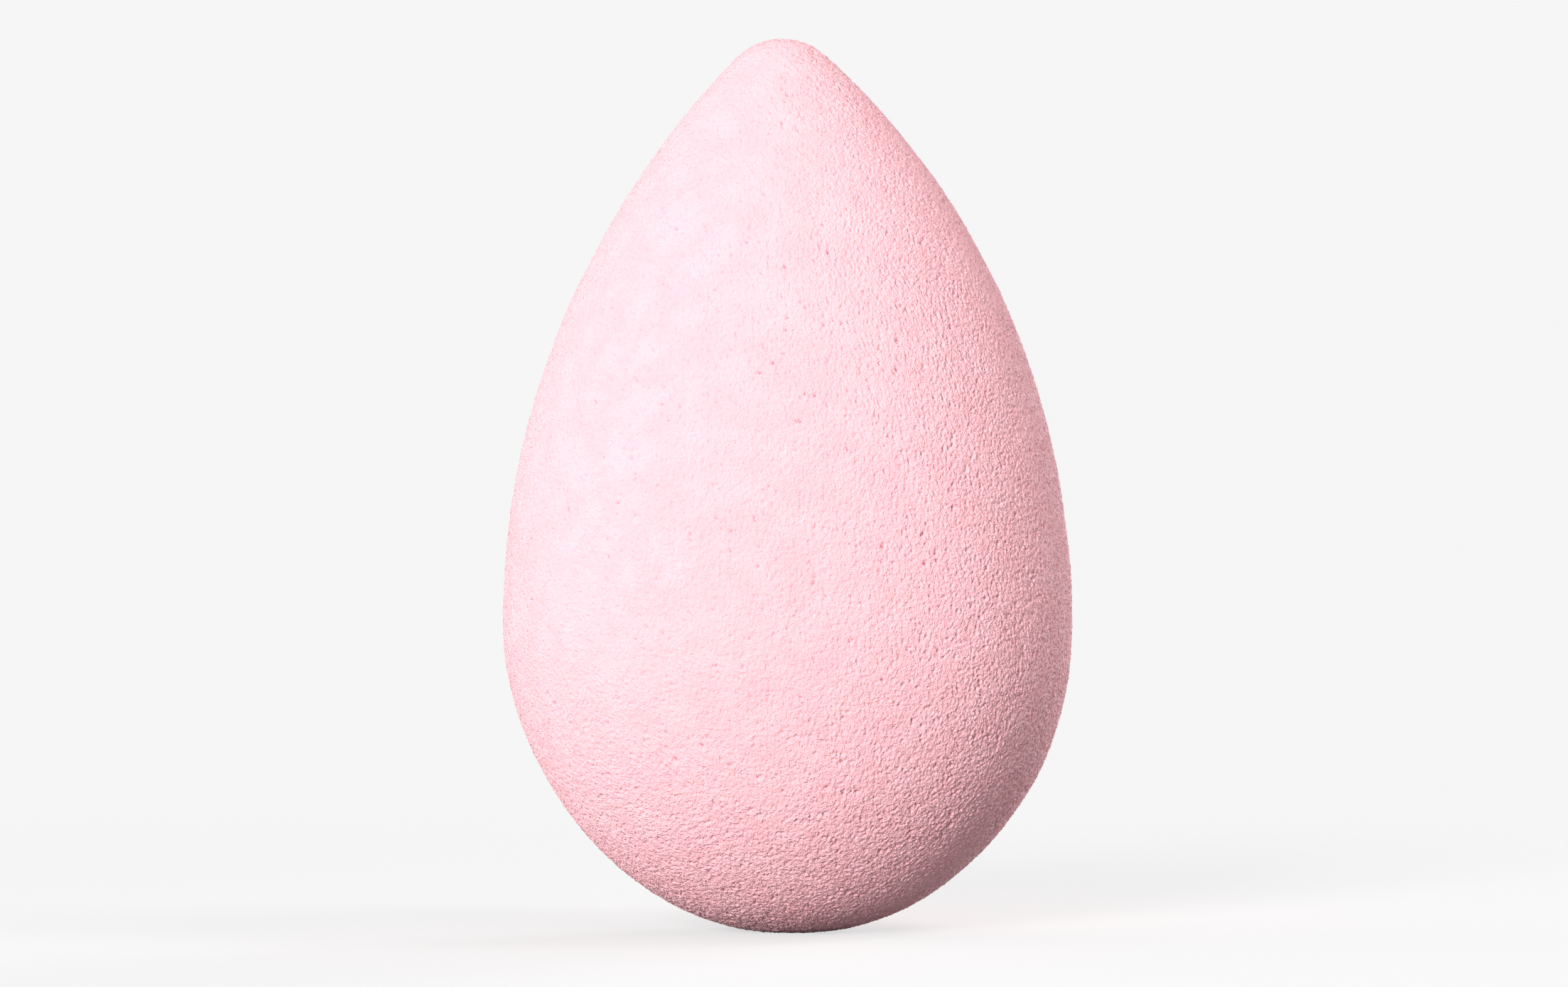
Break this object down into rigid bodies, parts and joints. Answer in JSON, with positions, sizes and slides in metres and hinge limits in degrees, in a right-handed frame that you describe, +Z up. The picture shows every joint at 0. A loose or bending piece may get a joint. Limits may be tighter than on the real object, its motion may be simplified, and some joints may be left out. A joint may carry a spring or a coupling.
{
  "type": "makeup sponge",
  "caption": "Teardrop makeup sponge of soft foam, with a rounded tip and a round base that settles to a small flat.",
  "frame": {"origin": "middle of the flat at the base, on the surface that the sponge stands on", "axes": "+Z up through the tip, along the sponge's axis of revolution"},
  "size_m": [0.0382, 0.0382, 0.06],
  "materials": {
    "pink_foam": "matte open-pored pink polyurethane foam"
  },
  "bodies": {
    "root": {"foam_body": "pink_foam"}
  },
  "joints": []
}
